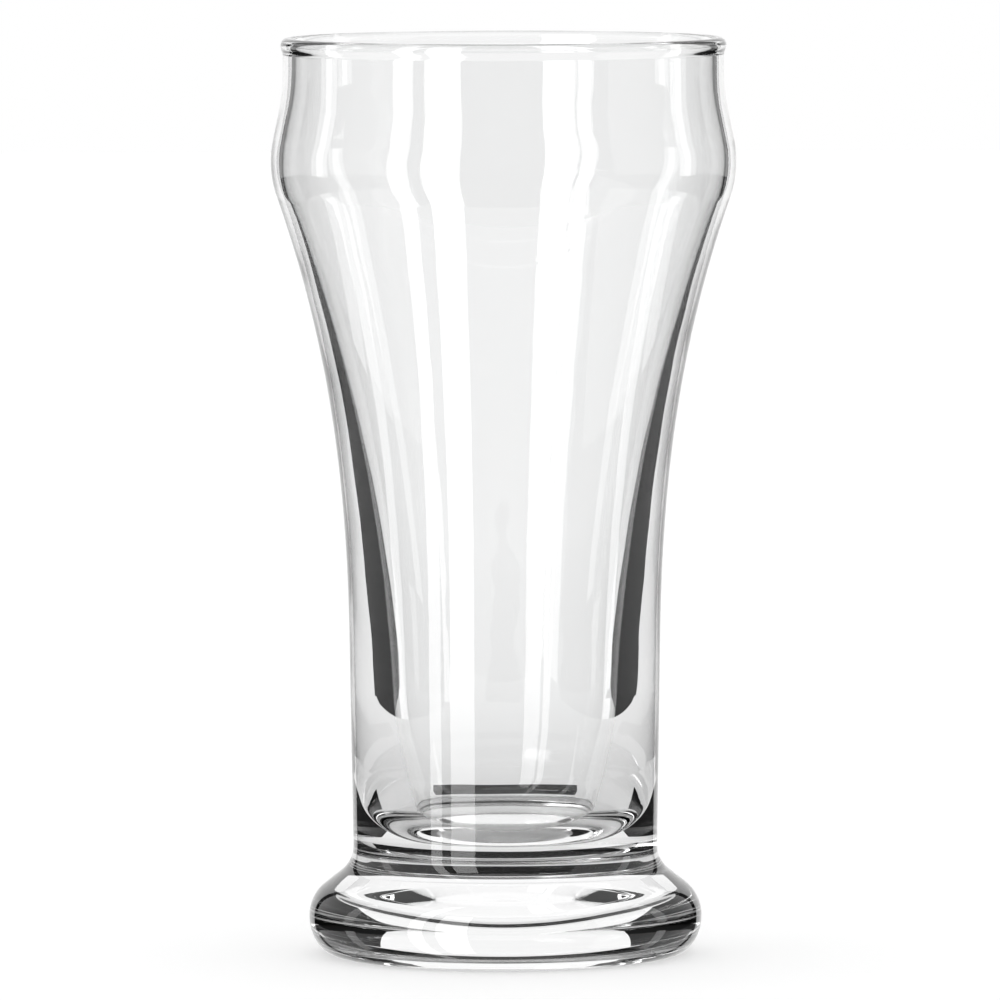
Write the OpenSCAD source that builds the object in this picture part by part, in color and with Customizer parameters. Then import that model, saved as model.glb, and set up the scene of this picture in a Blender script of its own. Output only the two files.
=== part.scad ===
// Footed pilsner glass in clear soda-lime glass, empty, standing on its resting ring.
// Origin: centre of the resting ring, on the table. +Z runs up the axis of the glass.
// The real glass is one piece. The nodes are the regions that are shaped and finished one by one,
// and they meet face to face at three level seams: at the neck of the foot, at the top of the
// thick bottom and under the bead of the rim.

/* [Overall] */
// Height from the table to the top of the rim
glass_h = 143; // [130:1:170]

/* [Rim] */
// How far the fire-polished bead stands out from the collar
bead_proud = 0.35; // [0:0.05:1]
// Height of the bead, from its seam to the top of the rim
bead_h = 2.6; // [2:0.1:4]
// Thickness of the bead between its inner and outer sides
bead_t = 2.4; // [1.6:0.1:3]

/* [Collar] */
// Outside diameter of the upright collar below the bead
collar_d = 68.7; // [62:0.1:76]
// Distance from the rim down to the corner where the collar turns out into the bulge
collar_h = 8.2; // [7:0.1:12]
// Radius of the hollow curve in that corner
collar_fillet = 30; // [10:1:34]

/* [Bulge] */
// How far the widest ring stands out from the collar
bulge_proud = 1.92; // [1.4:0.02:4]
// Distance from the rim down to the widest ring
bulge_drop = 19.3; // [17:0.1:26]
// Outside radius of the curve over the bulge
bulge_round = 16; // [8:0.5:18]
// Inside radius of the curve over the bulge
bulge_inner_round = 16; // [8:0.5:18]
// Lean of the outside just below the bulge, in degrees from upright
bulge_lean = 18.6; // [15:0.1:24]
// Distance from the widest ring down to where the body's long curve begins
shoulder_drop = 7.7; // [5:0.1:12]

/* [Body] */
// Outside diameter at the neck, where the body meets the foot
body_d = 47.4; // [44:0.1:52]
// Draft of the straight lower body, in degrees from upright
body_draft = 0.9; // [0:0.1:2]
// Height above the table where the body begins to flare
waist_z = 48; // [30:1:60]

/* [Wall and cavity] */
// Wall thickness at the collar
wall_t = 1.9; // [1.4:0.1:3]
// Wall thickness over the bulge
bulge_t = 1.9; // [1.4:0.1:3]
// Inside diameter where the wall meets the rounded heel of the cavity
cavity_d = 35.2; // [30:0.1:38]
// Draft of the cavity just above its heel, in degrees from upright
cavity_draft = 3.8; // [1:0.1:5]
// Lean of the inside just below the bulge, in degrees from upright
cavity_lean = 20; // [17:0.1:26]
// Height of the cavity's heel, from its floor to the bottom of the wall
heel_h = 23.1; // [20:0.1:28]
// Lean of the heel where it meets the curve of the floor, in degrees from upright
heel_lean = 14; // [8:0.5:20]
// Thickness of the solid glass between the foot's seam and the cavity's floor
floor_t = 3.4; // [1:0.1:10]
// Radius of the curve between the floor and the heel of the cavity
floor_round = 7.4; // [4:0.1:13]

/* [Foot] */
// Outside diameter of the foot
foot_d = 61.3; // [57:0.1:70]
// Height of the foot, from the table to its seam at the neck
foot_h = 14.5; // [12:0.1:15.5]
// Height of the foot's widest ring
edge_z = 6; // [5.5:0.1:8]
// Radius of the curve over the foot's shoulder
edge_round = 6.3; // [3:0.1:6.5]
// Width of the oval curve under the foot's edge
under_w = 4.4; // [2:0.1:5]
// Height of the oval curve under the foot's edge
under_h = 5.9; // [4:0.1:6.4]
// Radius of the hollow curve at the neck
neck_fillet = 5.1; // [4:0.1:9]
// Width of the flat resting ring
rest_w = 2.4; // [1:0.1:4]
// Height of the hollow under the foot, at its centre
hollow_h = 3.6; // [0.5:0.1:4]

/* [Hidden] */
glass_tint = [0.87, 0.92, 0.92, 0.5];
axis_fn = 96;
curve_steps = 30;
bend_steps = 8;

// Heights of the seams and of the main rings, above the table
bead_seam_z = glass_h - bead_h;
bulge_z = glass_h - bulge_drop;
shoulder_z = bulge_z - shoulder_drop;
floor_z = foot_h + floor_t;
plug_seam_z = floor_z + heel_h;

// Curves of the foot's edge and of the floor's corner, no larger than their heights allow
corner_share = 0.6;
edge_bend_share = 0.8;
edge_bend = min(edge_round, edge_bend_share * (foot_h - edge_z));
under_bend_h = min(under_h, edge_z);

// Radii of the main rings
collar_r = collar_d / 2;
bead_r = collar_r + bead_proud;
bulge_r = collar_r + bulge_proud;
body_r = body_d / 2;
cavity_r = cavity_d / 2;
foot_r = foot_d / 2;
rest_r = foot_r - under_w;
hollow_r = rest_r - rest_w;

// Points of an arc about c, as [radius, height], from angle a0 to angle a1
function arc(c, r, a0, a1, steps = bend_steps) =
    [for (i = [0:steps]) let (a = a0 + (a1 - a0) * i / steps) c + r * [cos(a), sin(a)]];

// Points of an arc about c that is stretched to a half width and a half height
function oval(c, width, height, a0, a1, steps = bend_steps) =
    [for (p = arc([0, 0], 1, a0, a1, steps)) c + [p[0] * width, p[1] * height]];

// Heights at even steps from one level to another
function levels(z0, z1, steps = curve_steps) = [for (i = [0:steps]) z0 + (z1 - z0) * i / steps];

// The same points in the opposite order
function reversed(points) = [for (i = [len(points) - 1:-1:0]) points[i]];

// Smooth step from 0 to 1
function swell(share) = (1 - cos(180 * share)) / 2;

// Lean, in degrees from upright, of the line from point p that touches a round edge about c
function touch_lean(p, c, r) = atan2(p[1] - c[1], p[0] - c[0]) - acos(r / norm(p - c));

// Radius at height z of the straight line through point p that leans outward as it rises
function lean_r(p, lean, z) = p[0] + (z - p[1]) * tan(lean);

// Radius at height z of a wall that leaves point p along its draft and reaches point q along its
// lean. From height z0 it flares as a power of the height, and the lean at q sets the power.
function flare_r(p, draft, z0, q, lean, z) =
    let (
        gain = q[0] - lean_r(p, draft, q[1]),
        rise = q[1] - z0,
        power = (tan(lean) - tan(draft)) * rise / gain
    )
    lean_r(p, draft, z) + gain * pow(max(z - z0, 0) / rise, power);

// Bulge and collar, from the lean below the bulge up to the bead's seam. The collar lies at one
// depth inside the outer surface and the bulge at another.
function crown(collar_depth, bulge_depth, round_r, lean) =
    let (
        round_c = [bulge_r - bulge_depth - round_r, bulge_z],
        corner = [collar_r - collar_depth, glass_h - collar_h],
        slant = touch_lean(corner, round_c, round_r),
        fillet_r = collar_fillet + collar_depth,
        fillet_c = corner + fillet_r * [1, tan(slant / 2)]
    )
    concat(
        arc(round_c, round_r, -lean, slant),
        arc(fillet_c, fillet_r, 180 + slant, 180),
        [[corner[0], bead_seam_z]]
    );
outer_crown = crown(0, 0, bulge_round, bulge_lean);
inner_crown = crown(wall_t, bulge_t, bulge_inner_round, cavity_lean);

// Points where the straight slopes below the bulge meet the body's long curves
outer_shoulder = [lean_r(outer_crown[0], bulge_lean, shoulder_z), shoulder_z];
inner_shoulder = [lean_r(inner_crown[0], cavity_lean, shoulder_z), shoulder_z];

// Outside of the body at height z
neck_p = [body_r, foot_h];
function outside_r(z) = flare_r(neck_p, body_draft, waist_z, outer_shoulder, bulge_lean, z);

// Inside of the wall at height z, above the heel
heel_p = [cavity_r, plug_seam_z];
function inside_r(z) = flare_r(heel_p, cavity_draft, plug_seam_z, inner_shoulder, cavity_lean, z);

// The heel bends from the cavity's draft to its own lean, where the curve of the floor takes over
corner_bend = min(floor_round, corner_share * heel_h);
heel_drop = heel_h - corner_bend * (1 - sin(heel_lean));
heel_r = heel_drop / (sin(heel_lean) - sin(cavity_draft));
heel_c = heel_p + heel_r * [-cos(cavity_draft), sin(cavity_draft)];
corner_c = heel_c + (heel_r - corner_bend) * [cos(heel_lean), -sin(heel_lean)];

// The foot's slope runs from the neck to the round shoulder
edge_c = [foot_r - edge_bend, edge_z];
slope_lean = touch_lean(neck_p, edge_c, edge_bend);

// The neck's hollow curve, from the slope up to the body, and its angle where the seam cuts it
neck_reach = neck_fillet * tan((slope_lean + body_draft) / 2);
neck_top = neck_p + neck_reach * [sin(body_draft), cos(body_draft)];
neck_c = neck_top + neck_fillet * [cos(body_draft), -sin(body_draft)];
neck_seam_a = 180 + asin((neck_c[1] - foot_h) / neck_fillet);

// The round hollow under the foot is a shallow cap of this sphere
hollow_ball_r = (hollow_r * hollow_r + hollow_h * hollow_h) / (2 * hollow_h);
hollow_c = [0, hollow_h - hollow_ball_r];
hollow_edge_a = acos(hollow_r / hollow_ball_r);

// Turns an outline given as [radius, height] about the axis of the glass
module lathe(points) {
    rotate_extrude($fn = axis_fn) polygon(points);
}

// Pressed foot: hollow underside, resting ring, rounded edge, slope and lower part of the neck
module foot() {
    color(glass_tint) lathe(concat(
        [[0, foot_h]],
        arc(hollow_c, hollow_ball_r, 90, hollow_edge_a),
        oval([rest_r, under_bend_h], under_w, under_bend_h, -90, 0),
        arc(edge_c, edge_bend, 0, slope_lean),
        arc(neck_c, neck_fillet, 180 + slope_lean, neck_seam_a)
    ));
}

// Thick bottom: upper part of the neck, short solid body, and the heel and floor of the cavity
module base_plug() {
    color(glass_tint) lathe(concat(
        [[0, foot_h]],
        arc(neck_c, neck_fillet, neck_seam_a, 180 - body_draft),
        [[outside_r(plug_seam_z), plug_seam_z]],
        arc(heel_c, heel_r, -cavity_draft, -heel_lean),
        arc(corner_c, corner_bend, -heel_lean, -90),
        [[0, floor_z]]
    ));
}

// Blown wall: tapering body, bulge and collar, thickening downward
module bowl() {
    color(glass_tint) lathe(concat(
        [for (z = levels(plug_seam_z, shoulder_z)) [outside_r(z), z]],
        outer_crown,
        reversed(inner_crown),
        [for (z = levels(shoulder_z, plug_seam_z)) [inside_r(z), z]]
    ));
}

// Fire-polished bead: a round top over flanks that swell from the thickness of the wall
module rim_bead() {
    cap_r = bead_t / 2;
    cap_c = [bead_r - cap_r, glass_h - cap_r];
    flank_h = cap_c[1] - bead_seam_z;
    outer_flank = [for (i = [0:bend_steps - 1]) let (share = i / bend_steps)
        [collar_r + (bead_r - collar_r) * swell(share), bead_seam_z + flank_h * share]];
    inner_flank = [for (i = [0:bend_steps - 1]) let (share = i / bend_steps)
        [collar_r - wall_t + (bead_r - bead_t - collar_r + wall_t) * swell(share),
            bead_seam_z + flank_h * share]];
    color(glass_tint) lathe(concat(
        outer_flank,
        arc(cap_c, cap_r, 0, 180, 2 * bend_steps),
        reversed(inner_flank)
    ));
}

foot();
base_plug();
bowl();
rim_bead();
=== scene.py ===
"""A footed pilsner glass of clear pressed glass, standing empty in a bright-field studio.

The glass is turned on its axis as four closed pieces that meet at level seams, one for each CAD
node: foot, base plug, bowl and rim bead. The seams between them let light straight through, as
the real glass does, which is one continuous piece.
"""
import math
import bpy
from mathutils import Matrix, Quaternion, Vector


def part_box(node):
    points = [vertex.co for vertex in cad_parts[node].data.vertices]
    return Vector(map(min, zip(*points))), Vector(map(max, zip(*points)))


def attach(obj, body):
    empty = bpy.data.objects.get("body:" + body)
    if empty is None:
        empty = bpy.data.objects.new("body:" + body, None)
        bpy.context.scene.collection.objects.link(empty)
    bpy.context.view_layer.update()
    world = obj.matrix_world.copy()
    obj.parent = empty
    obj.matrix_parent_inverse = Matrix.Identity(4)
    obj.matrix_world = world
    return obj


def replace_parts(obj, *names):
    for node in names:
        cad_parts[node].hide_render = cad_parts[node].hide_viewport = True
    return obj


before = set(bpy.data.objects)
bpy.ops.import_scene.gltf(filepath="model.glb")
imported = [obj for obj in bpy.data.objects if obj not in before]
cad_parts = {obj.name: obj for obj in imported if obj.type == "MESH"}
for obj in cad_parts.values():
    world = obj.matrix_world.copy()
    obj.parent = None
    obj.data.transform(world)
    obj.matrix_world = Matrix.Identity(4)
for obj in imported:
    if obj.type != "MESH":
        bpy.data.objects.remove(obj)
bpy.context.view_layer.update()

MM = 0.001

# Heights and radii that the CAD nodes give
FOOT_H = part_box("foot")[1][2]
FOOT_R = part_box("foot")[1][0]
PLUG_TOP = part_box("base_plug")[1][2]
BEAD_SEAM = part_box("rim_bead")[0][2]
GLASS_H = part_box("rim_bead")[1][2]
BEAD_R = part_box("rim_bead")[1][0]
BULGE_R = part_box("bowl")[1][0]

# Collar, bulge and shoulder
BEAD_PROUD = 0.35 * MM
BEAD_T = 2.4 * MM
COLLAR_R = BEAD_R - BEAD_PROUD
COLLAR_H = 8.2 * MM
COLLAR_FILLET = 30 * MM
BULGE_DROP = 19.3 * MM
BULGE_ROUND = 16 * MM
BULGE_ROUND_INSIDE = 16 * MM
BULGE_LEAN = 18.6
SHOULDER_DROP = 7.7 * MM

# Body, wall and cavity
BODY_R = 23.7 * MM
BODY_DRAFT = 0.9
WAIST_Z = 48 * MM
WALL_T = 1.9 * MM
BULGE_T = 1.9 * MM
CAVITY_R = 17.6 * MM
CAVITY_DRAFT = 3.8
CAVITY_LEAN = 20
FLOOR_T = 3.4 * MM
FLOOR_ROUND = 7.4 * MM
HEEL_LEAN = 14

# Foot
EDGE_Z = 6 * MM
EDGE_ROUND = 6.3 * MM
UNDER_W = 4.4 * MM
UNDER_H = 5.9 * MM
NECK_FILLET = 5.1 * MM
REST_W = 2.4 * MM
HOLLOW_H = 3.6 * MM

# Fineness of the turned pieces, and the slack within which points and levels count as the same
TURN_STEPS = 256
CURVE_STEPS = 60
BEND_STEPS = 16
SMOOTH_ANGLE = 25
SAME_POINT = 0.0001 * MM
WELD = 0.0005 * MM
SAME_LEVEL = 0.001 * MM
LEVEL_NORMAL = 0.9999

# Clear soda-lime glass, with faint waves from the mould and fine scuffs on the resting ring
GLASS_COLOUR = (0.996, 0.998, 0.998, 1)
GLASS_INDEX = 1.52
WAVE_LENGTH = 16 * MM
WAVE_DEPTH = 0.25 * MM
WAVE_DETAIL = 1
WAVE_STRENGTH = 0.3
SCUFF_H = 0.3 * MM
SCUFF_ROUGHNESS = 0.3

# Studio cards stand round the glass on a turntable, which turns with the camera. Their angles
# are counted in degrees from the camera's direction, and their heights from the table. The
# opening and the cards of painted shadow reach that far to each side of the line behind the glass.
SURROUND_R = 1.4
SURROUND_LOW = -1.7
SURROUND_HIGH = 1.3
OPENING = 28.5
DARK = 0.012
# Painted shadow: a dark mat and a low dark rail just behind the foot stand for the glass's own
# shadow on the table there, which the glass shows.
SHADOW_MAT_R = 45 * MM
SHADOW_RAIL_R = 52 * MM
SHADOW_CARD_Z = 0.2 * MM
SHADOW_RAIL_H = 6.5 * MM
SHADOW_CARD_A = 30
LIGHT = 4
MAIN_LIGHT = {"radius": 1.35, "start": -41, "end": -22.5, "low": -1.6, "high": 1.2}
NEAR_LIGHT = {"radius": 0.21, "start": -55, "end": -46, "low": -0.4, "high": 0.5}
SIDE_LIGHT = 2
SIDE_LIGHT_R = 0.7
SIDE_LIGHT_A = 9
SIDE_LIGHT_STARTS = {"light_side_left": -108, "light_side_right": 99}
SIDE_LIGHT_LEVELS = {"_high": (0.03, 0.6), "_low": (-0.5, -0.12)}
GREY = 0.7
GREY_R = SIDE_LIGHT_R + 0.1
GREY_NEAR = 55
GREY_FAR = 145
GREY_STARTS = {"grey_left": -GREY_FAR, "grey_right": GREY_NEAR}
GREY_LEVELS = {"_high": (0.03, 1), "_low": (-0.6, -0.16)}
CARD_STEP = 3
CARD_STEPS_MIN = 4

# The ground that the camera sees, and the strip of paper that only the glass shows. The fill of
# the strip grows with the distance from the glass, from the near radius to the far one, which
# paints shadow on the strip near the glass.
WHITE = (1, 1, 1, 1)
PAPER_COLOUR = (0.6, 0.6, 0.6, 1)
PAPER_ROUGHNESS = 0.9
PAPER_W = 0.26
PAPER_FRONT = 0.16
PAPER_BACK = 1.4
FILL_NEAR_R = 0.05
FILL_MID_R = 0.11
FILL_FAR_R = 0.4
FILL_NEAR = 0.14
FILL_MID = 0.24
FILL_FAR = 0.4
GROUND_FILL = 0.44
GROUND_R = 3
GROUND_DROP = 0.05 * MM
GROUND_SIDES = 128

# Camera: where the lens looks from, and how much of the scene the frame takes in
CAMERA_DISTANCE = 1.9
CAMERA_RISE = 0.2045
FRAME_WIDTH = 155.9 * MM
FRAME_CENTRE = Vector((-0.70 * MM, 0, 70.9 * MM))
CAMERA_ROLL = -0.14
SENSOR = 36
NEAR_CLIP = 0.05


def polar(radius, degrees):
    """A point as (radius, height), from its distance and its angle."""
    return Vector((math.cos(math.radians(degrees)), math.sin(math.radians(degrees)))) * radius


def arc(centre, radius, start, end, steps=BEND_STEPS):
    """Points of an arc as (radius, height), from one angle to another."""
    return [centre + polar(radius, start + (end - start) * i / steps) for i in range(steps + 1)]


def oval(centre, width, height, start, end):
    """Points of an arc that is stretched to a half width and a half height."""
    unit = arc(Vector((0, 0)), 1, start, end, 2 * BEND_STEPS)
    return [centre + Vector((p.x * width, p.y * height)) for p in unit]


def levels(low, high):
    """Heights at even steps from one level to another."""
    return [low + (high - low) * i / CURVE_STEPS for i in range(CURVE_STEPS + 1)]


def swell(share):
    """Smooth step from 0 to 1."""
    return (1 - math.cos(math.pi * share)) / 2


def touch_lean(point, centre, radius):
    """Lean, in degrees from upright, of the line from a point that touches a round edge."""
    reach = point - centre
    return math.degrees(math.atan2(reach.y, reach.x) - math.acos(radius / reach.length))


def lean_r(point, lean, z):
    """Radius of the straight line through a point that leans outward as it rises."""
    return point.x + (z - point.y) * math.tan(math.radians(lean))


def flare_r(low, draft, flare_z, high, lean, z):
    """Radius of a wall that leaves the low point along its draft and reaches the high one."""
    gain = high.x - lean_r(low, draft, high.y)
    rise = high.y - flare_z
    power = (math.tan(math.radians(lean)) - math.tan(math.radians(draft))) * rise / gain
    return lean_r(low, draft, z) + gain * (max(z - flare_z, 0) / rise) ** power


SHOULDER_Z = GLASS_H - BULGE_DROP - SHOULDER_DROP


def crown(depth, bulge_depth, bulge_round, lean):
    """Bulge and collar at their depths inside the outer surface, up to the bead's seam."""
    bulge = Vector((BULGE_R - bulge_depth - bulge_round, GLASS_H - BULGE_DROP))
    corner = Vector((COLLAR_R - depth, GLASS_H - COLLAR_H))
    slant = touch_lean(corner, bulge, bulge_round)
    fillet = COLLAR_FILLET + depth
    collar = corner + Vector((1, math.tan(math.radians(slant / 2)))) * fillet
    over_bulge = arc(bulge, bulge_round, -lean, slant)
    into_collar = arc(collar, fillet, 180 + slant, 180)
    return over_bulge + into_collar + [Vector((corner.x, BEAD_SEAM))]


def cavity_bottom():
    """From the bottom of the wall, down the heel's long curve and over its corner to the floor."""
    corner_z = FOOT_H + FLOOR_T + FLOOR_ROUND
    drop = PLUG_TOP - corner_z - polar(FLOOR_ROUND, -HEEL_LEAN).y
    heel_r = drop / (polar(1, HEEL_LEAN).y - polar(1, CAVITY_DRAFT).y)
    centre = Vector((CAVITY_R, PLUG_TOP)) - polar(heel_r, -CAVITY_DRAFT)
    heel = arc(centre, heel_r, -CAVITY_DRAFT, -HEEL_LEAN)
    centre = heel[-1] - polar(FLOOR_ROUND, -HEEL_LEAN)
    return heel + arc(centre, FLOOR_ROUND, -HEEL_LEAN, -90) + [Vector((0, FOOT_H + FLOOR_T))]


OUTER_CROWN = crown(0, 0, BULGE_ROUND, BULGE_LEAN)
INNER_CROWN = crown(WALL_T, BULGE_T, BULGE_ROUND_INSIDE, CAVITY_LEAN)
NECK_P = Vector((BODY_R, FOOT_H))
CAVITY_BOTTOM = cavity_bottom()


def outside(z):
    """Point of the body's outside at a height."""
    high = Vector((lean_r(OUTER_CROWN[0], BULGE_LEAN, SHOULDER_Z), SHOULDER_Z))
    return Vector((flare_r(NECK_P, BODY_DRAFT, WAIST_Z, high, BULGE_LEAN, z), z))


def inside(z):
    """Point of the wall's inside at a height."""
    low = CAVITY_BOTTOM[0]
    high = Vector((lean_r(INNER_CROWN[0], CAVITY_LEAN, SHOULDER_Z), SHOULDER_Z))
    return Vector((flare_r(low, CAVITY_DRAFT, low.y, high, CAVITY_LEAN, z), z))


# Foot: its shoulder and slope, the neck's hollow curve, and the hollow under it
EDGE_C = Vector((FOOT_R - EDGE_ROUND, EDGE_Z))
SLOPE_LEAN = touch_lean(NECK_P, EDGE_C, EDGE_ROUND)
NECK_REACH = NECK_FILLET * math.tan(math.radians((SLOPE_LEAN + BODY_DRAFT) / 2))
NECK_TOP = NECK_P + polar(NECK_REACH, 90 - BODY_DRAFT)
NECK_C = NECK_TOP + polar(NECK_FILLET, -BODY_DRAFT)
NECK_SEAM = 180 + math.degrees(math.asin((NECK_C.y - FOOT_H) / NECK_FILLET))
REST_R = FOOT_R - UNDER_W
HOLLOW_R = REST_R - REST_W
HOLLOW_BALL = (HOLLOW_R ** 2 + HOLLOW_H ** 2) / (2 * HOLLOW_H)
HOLLOW_C = Vector((0, HOLLOW_H - HOLLOW_BALL))
HOLLOW_EDGE = math.degrees(math.acos(HOLLOW_R / HOLLOW_BALL))


def foot_outline():
    under = arc(HOLLOW_C, HOLLOW_BALL, 90, HOLLOW_EDGE)
    edge = oval(Vector((REST_R, UNDER_H)), UNDER_W, UNDER_H, -90, 0)
    over = arc(EDGE_C, EDGE_ROUND, 0, SLOPE_LEAN)
    neck = arc(NECK_C, NECK_FILLET, 180 + SLOPE_LEAN, NECK_SEAM)
    return under + edge + over + neck + [Vector((0, FOOT_H))]


def base_plug_outline():
    neck = arc(NECK_C, NECK_FILLET, NECK_SEAM, 180 - BODY_DRAFT)
    return [Vector((0, FOOT_H))] + neck + [outside(PLUG_TOP)] + CAVITY_BOTTOM


def bowl_outline():
    out = [outside(z) for z in levels(PLUG_TOP, SHOULDER_Z)]
    down = [inside(z) for z in levels(SHOULDER_Z, PLUG_TOP)]
    return out + OUTER_CROWN + INNER_CROWN[::-1] + down


def rim_bead_outline():
    cap_r = BEAD_T / 2
    cap_c = Vector((BEAD_R - cap_r, GLASS_H - cap_r))
    out, back = [], []
    for i in range(BEND_STEPS):
        share = i / BEND_STEPS
        z = BEAD_SEAM + (cap_c.y - BEAD_SEAM) * share
        inner = COLLAR_R - WALL_T
        out.append(Vector((COLLAR_R + BEAD_PROUD * swell(share), z)))
        back.append(Vector((inner + (BEAD_R - BEAD_T - inner) * swell(share), z)))
    return out + arc(cap_c, cap_r, 0, 180, 2 * BEND_STEPS) + back[::-1]


def select_nothing():
    bpy.ops.object.select_all(action="DESELECT")


def turned_piece(name, outline, seams, glass, seam):
    """Extrudes a point along the outline, and spins that line into a closed solid.

    A level face that lies on one of the seams takes the seam's material.
    """
    points = outline[:1]
    points += [p for last, p in zip(outline, outline[1:]) if (p - last).length > SAME_POINT]
    select_nothing()
    bpy.ops.mesh.primitive_plane_add(size=MM)
    piece = bpy.context.active_object
    piece.name = name
    bpy.ops.object.mode_set(mode="EDIT")
    bpy.ops.mesh.merge(type="CENTER")
    bpy.ops.transform.translate(value=(points[0].x, 0, points[0].y))
    for here, there in zip(points, points[1:]):
        step = (there.x - here.x, 0, there.y - here.y)
        bpy.ops.mesh.extrude_region_move(TRANSFORM_OT_translate={"value": step})
    off_axis = points[0].x > MM and points[-1].x > MM
    if off_axis:
        step = (points[0].x - points[-1].x, 0, points[0].y - points[-1].y)
        bpy.ops.mesh.extrude_region_move(TRANSFORM_OT_translate={"value": step})
    bpy.ops.mesh.select_all(action="SELECT")
    bpy.ops.mesh.spin(steps=TURN_STEPS, angle=math.tau, center=(0, 0, 0), axis=(0, 0, 1))
    bpy.ops.mesh.select_all(action="SELECT")
    bpy.ops.mesh.remove_doubles(threshold=WELD)
    bpy.ops.mesh.normals_make_consistent(inside=False)
    bpy.ops.object.mode_set(mode="OBJECT")
    piece.data.materials.append(glass)
    piece.data.materials.append(seam)
    for face in piece.data.polygons:
        level = abs(face.normal.z) > LEVEL_NORMAL
        if level and any(abs(face.center.z - z) < SAME_LEVEL for z in seams):
            face.material_index = 1
    bpy.ops.object.shade_smooth_by_angle(angle=math.radians(SMOOTH_ANGLE))
    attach(piece, "root")
    return piece


def clear_glass():
    """Clear glass, wavy from the mould and scuffed where it stands on the table."""
    mat = bpy.data.materials.new("clear_glass")
    mat.use_nodes = True
    nodes, links = mat.node_tree.nodes, mat.node_tree.links
    shader = nodes["Principled BSDF"]
    shader.inputs["Base Color"].default_value = GLASS_COLOUR
    shader.inputs["IOR"].default_value = GLASS_INDEX
    shader.inputs["Transmission Weight"].default_value = 1
    where = nodes.new("ShaderNodeTexCoord")
    waves = nodes.new("ShaderNodeTexNoise")
    waves.inputs["Scale"].default_value = 1 / WAVE_LENGTH
    waves.inputs["Detail"].default_value = WAVE_DETAIL
    bump = nodes.new("ShaderNodeBump")
    bump.inputs["Strength"].default_value = WAVE_STRENGTH
    bump.inputs["Distance"].default_value = WAVE_DEPTH
    height = nodes.new("ShaderNodeSeparateXYZ")
    scuff = nodes.new("ShaderNodeMapRange")
    scuff.inputs["From Max"].default_value = SCUFF_H
    scuff.inputs["To Min"].default_value = SCUFF_ROUGHNESS
    scuff.inputs["To Max"].default_value = 0
    links.new(where.outputs["Object"], waves.inputs["Vector"])
    links.new(waves.outputs["Fac"], bump.inputs["Height"])
    links.new(bump.outputs["Normal"], shader.inputs["Normal"])
    links.new(where.outputs["Object"], height.inputs["Vector"])
    links.new(height.outputs["Z"], scuff.inputs["Value"])
    links.new(scuff.outputs["Result"], shader.inputs["Roughness"])
    return mat


def open_seam():
    """A seam inside the glass, which light crosses unchanged."""
    mat = bpy.data.materials.new("open_seam")
    mat.use_nodes = True
    nodes, links = mat.node_tree.nodes, mat.node_tree.links
    nodes.remove(nodes["Principled BSDF"])
    clear = nodes.new("ShaderNodeBsdfTransparent")
    links.new(clear.outputs["BSDF"], nodes["Material Output"].inputs["Surface"])
    return mat


def glow(name, strength):
    """White light of one strength, for a light box or for cloth of any grey."""
    mat = bpy.data.materials.new(name)
    mat.use_nodes = True
    nodes, links = mat.node_tree.nodes, mat.node_tree.links
    nodes.remove(nodes["Principled BSDF"])
    light = nodes.new("ShaderNodeEmission")
    light.inputs["Color"].default_value = WHITE
    light.inputs["Strength"].default_value = strength
    links.new(light.outputs["Emission"], nodes["Material Output"].inputs["Surface"])
    return mat


def by_radius(nodes, links, near, at_near, far, at_far):
    """A value that runs from one level to another with the distance from the glass."""
    where = nodes.new("ShaderNodeTexCoord")
    radius = nodes.new("ShaderNodeVectorMath")
    radius.operation = "LENGTH"
    level = nodes.new("ShaderNodeMapRange")
    level.inputs["From Min"].default_value = near
    level.inputs["From Max"].default_value = far
    level.inputs["To Min"].default_value = at_near
    level.inputs["To Max"].default_value = at_far
    links.new(where.outputs["Object"], radius.inputs[0])
    links.new(radius.outputs["Value"], level.inputs["Value"])
    return level.outputs["Result"]


def show_in_glass_only(card, turntable):
    """Lets only the glass show the card, which turns with the camera."""
    card.visible_camera = False
    card.visible_diffuse = False
    card.visible_shadow = False
    card.parent = turntable


def curved_card(name, near, far, start, end, material, turntable):
    """A card bent round the glass, between two angles from the camera's direction.

    Its section is the line from near to far, each of them a radius and a height.
    """
    select_nothing()
    bpy.ops.mesh.primitive_plane_add(size=MM)
    card = bpy.context.active_object
    card.name = name
    bpy.ops.object.mode_set(mode="EDIT")
    bpy.ops.mesh.merge(type="CENTER")
    out = Vector((math.sin(math.radians(start)), -math.cos(math.radians(start)), 0))
    bpy.ops.transform.translate(value=out * near[0] + Vector((0, 0, near[1])))
    step = out * (far[0] - near[0]) + Vector((0, 0, far[1] - near[1]))
    bpy.ops.mesh.extrude_region_move(TRANSFORM_OT_translate={"value": step})
    bpy.ops.mesh.select_all(action="SELECT")
    bpy.ops.mesh.spin(steps=max(CARD_STEPS_MIN, int((end - start) / CARD_STEP)),
                      angle=-math.radians(end - start), center=(0, 0, 0), axis=(0, 0, 1))
    bpy.ops.object.mode_set(mode="OBJECT")
    card.data.materials.append(material)
    show_in_glass_only(card, turntable)
    return card


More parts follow.
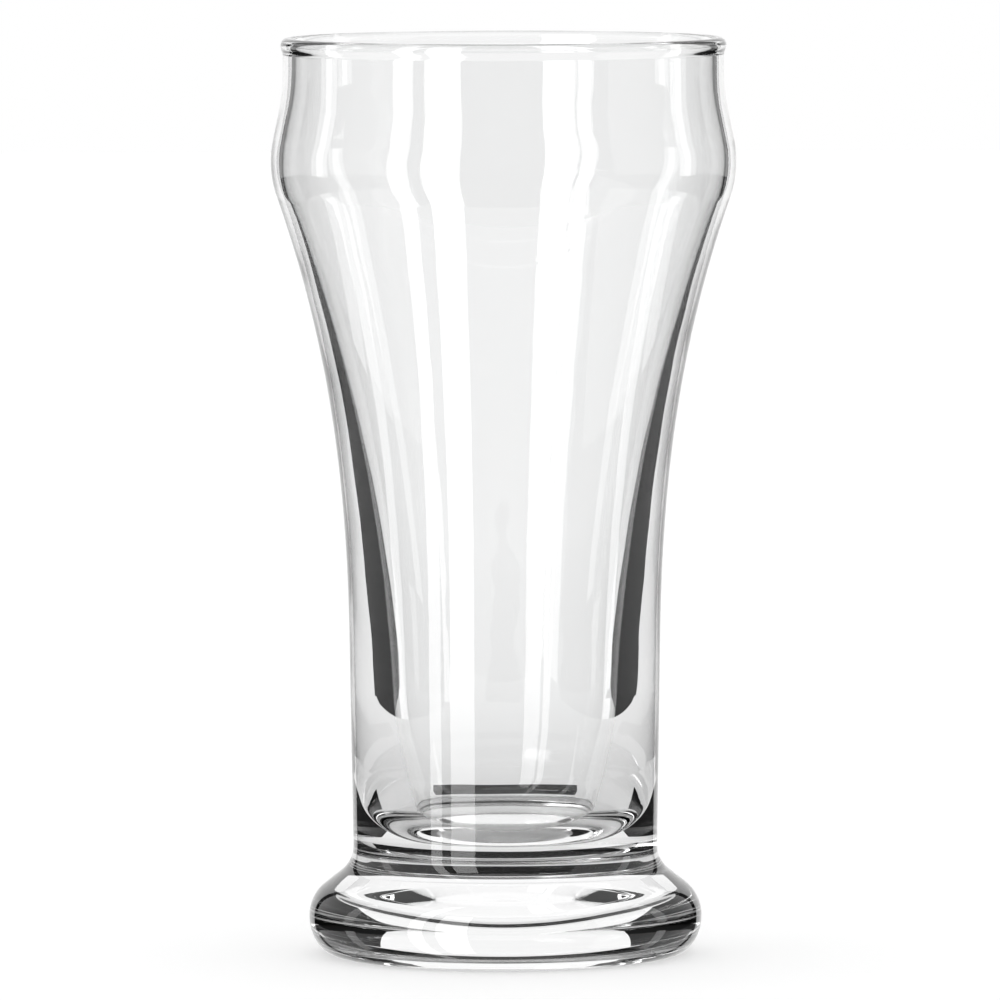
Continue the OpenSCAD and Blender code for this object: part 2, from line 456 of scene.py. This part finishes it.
def studio(camera):
    """The dark surround, the mat and rail of painted shadow behind the foot, the grey cards and
    the light boxes, on their turntable.
    """
    bpy.ops.object.empty_add()
    turntable = bpy.context.active_object
    turntable.name = "turntable"
    turn = turntable.constraints.new("COPY_ROTATION")
    turn.target = camera
    turn.use_x = False
    turn.use_y = False

    def upright(name, material, radius, start, end, low, high):
        return curved_card(name, (radius, low), (radius, high), start, end, material, turntable)

    # Dark cloth for the surround, which also gives the painted shadow of the mat and rail.
    dark = glow("dark_cloth_and_painted_shadow", DARK)
    upright("dark_surround", dark, SURROUND_R, OPENING - 180, 180 - OPENING, SURROUND_LOW,
            SURROUND_HIGH)
    # Painted shadow: the mat and rail are dark cards where the glass's shadow falls behind the
    # foot.
    curved_card("painted_shadow_mat", (SHADOW_MAT_R, SHADOW_CARD_Z), (SHADOW_RAIL_R, SHADOW_CARD_Z), 180 - SHADOW_CARD_A, 180 + SHADOW_CARD_A, dark,
                turntable)
    upright("painted_shadow_rail", dark, SHADOW_RAIL_R, 180 - SHADOW_CARD_A, 180 + SHADOW_CARD_A, SHADOW_CARD_Z, SHADOW_RAIL_H)
    grey = glow("grey_cloth", GREY)
    for name, start in GREY_STARTS.items():
        for part, (low, high) in GREY_LEVELS.items():
            card = upright(name + part, grey, GREY_R, start, start + GREY_FAR - GREY_NEAR, low,
                           high)
            card.visible_transmission = False
    lit = glow("light_box", LIGHT)
    upright("light_main", lit, **MAIN_LIGHT)
    upright("light_near", lit, **NEAR_LIGHT)
    dim = glow("light_box_dim", SIDE_LIGHT)
    for name, start in SIDE_LIGHT_STARTS.items():
        for part, (low, high) in SIDE_LIGHT_LEVELS.items():
            upright(name + part, dim, SIDE_LIGHT_R, start, start + SIDE_LIGHT_A, low, high)
    return turntable


def pale_paper(name):
    """Pale paper, without the fill that each use of it adds."""
    mat = bpy.data.materials.new(name)
    mat.use_nodes = True
    shader = mat.node_tree.nodes["Principled BSDF"]
    shader.inputs["Base Color"].default_value = PAPER_COLOUR
    shader.inputs["Roughness"].default_value = PAPER_ROUGHNESS
    shader.inputs["Emission Color"].default_value = WHITE
    return mat


def ground():
    """The plain pale floor that the camera sees, with the shadow of the glass.

    Its fill is for the camera's rays alone, so it lights nothing.
    """
    select_nothing()
    bpy.ops.mesh.primitive_circle_add(vertices=GROUND_SIDES, radius=GROUND_R, fill_type="NGON",
                                      location=(0, 0, -GROUND_DROP))
    floor = bpy.context.active_object
    floor.name = "ground"
    mat = pale_paper("pale_ground")
    nodes, links = mat.node_tree.nodes, mat.node_tree.links
    path = nodes.new("ShaderNodeLightPath")
    fill = nodes.new("ShaderNodeMapRange")
    fill.inputs["To Max"].default_value = GROUND_FILL
    links.new(path.outputs["Is Camera Ray"], fill.inputs["Value"])
    links.new(fill.outputs["Result"], nodes["Principled BSDF"].inputs["Emission Strength"])
    floor.data.materials.append(mat)
    floor.visible_glossy = False
    floor.visible_transmission = False


def paper_strip(turntable):
    """The strip of paper that the glass stands on and shows, darker near the foot: partly the real
    shadow of the glass, partly painted shadow in a fill that is lower there.
    """
    select_nothing()
    bpy.ops.mesh.primitive_plane_add(size=1)
    strip = bpy.context.active_object
    strip.name = "paper_strip"
    bpy.ops.object.mode_set(mode="EDIT")
    bpy.ops.transform.resize(value=(PAPER_W, PAPER_FRONT + PAPER_BACK, 1))
    bpy.ops.transform.translate(value=(0, (PAPER_BACK - PAPER_FRONT) / 2, 0))
    bpy.ops.object.mode_set(mode="OBJECT")
    mat = pale_paper("paper_with_painted_shadow")
    nodes, links = mat.node_tree.nodes, mat.node_tree.links
    fill = nodes.new("ShaderNodeMath")
    fill.operation = "ADD"
    # Painted shadow: the fill is lowest near the glass and grows away from it.
    near = by_radius(nodes, links, FILL_NEAR_R, FILL_NEAR, FILL_MID_R, FILL_MID)
    far = by_radius(nodes, links, FILL_MID_R, 0, FILL_FAR_R, FILL_FAR - FILL_MID)
    links.new(near, fill.inputs[0])
    links.new(far, fill.inputs[1])
    links.new(fill.outputs["Value"], nodes["Principled BSDF"].inputs["Emission Strength"])
    strip.data.materials.append(mat)
    strip.visible_glossy = False
    show_in_glass_only(strip, turntable)


def white_world():
    """Even white light from all round, which is also the background."""
    world = bpy.data.worlds.new("white_field")
    bpy.context.scene.world = world
    world.use_nodes = True
    world.node_tree.nodes["Background"].inputs["Color"].default_value = WHITE
    world.node_tree.nodes["Background"].inputs["Strength"].default_value = 1


def make_camera():
    """The photo's camera: almost level, a long way off and rolled a little."""
    bpy.ops.object.camera_add(location=(0, -CAMERA_DISTANCE, CAMERA_RISE))
    camera = bpy.context.active_object
    camera.name = "camera"
    sight = FRAME_CENTRE - camera.location
    roll = Quaternion((0, 0, 1), math.radians(CAMERA_ROLL))
    camera.rotation_euler = (sight.to_track_quat("-Z", "Y") @ roll).to_euler()
    camera.data.sensor_fit = "HORIZONTAL"
    camera.data.sensor_width = SENSOR
    camera.data.lens = SENSOR * sight.length / FRAME_WIDTH
    camera.data.clip_start = NEAR_CLIP
    bpy.context.scene.camera = camera
    return camera


def main():
    bpy.context.scene.view_settings.view_transform = "Standard"
    camera = make_camera()
    glass, seam = clear_glass(), open_seam()
    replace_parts(turned_piece("pressed_foot", foot_outline(), [FOOT_H], glass, seam), "foot")
    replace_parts(turned_piece("thick_base", base_plug_outline(), [FOOT_H, PLUG_TOP], glass, seam),
                "base_plug")
    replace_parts(turned_piece("tapered_bowl", bowl_outline(), [PLUG_TOP, BEAD_SEAM], glass, seam),
                "bowl")
    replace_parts(turned_piece("polished_rim", rim_bead_outline(), [BEAD_SEAM], glass, seam),
                "rim_bead")
    turntable = studio(camera)
    paper_strip(turntable)
    ground()
    white_world()


main()
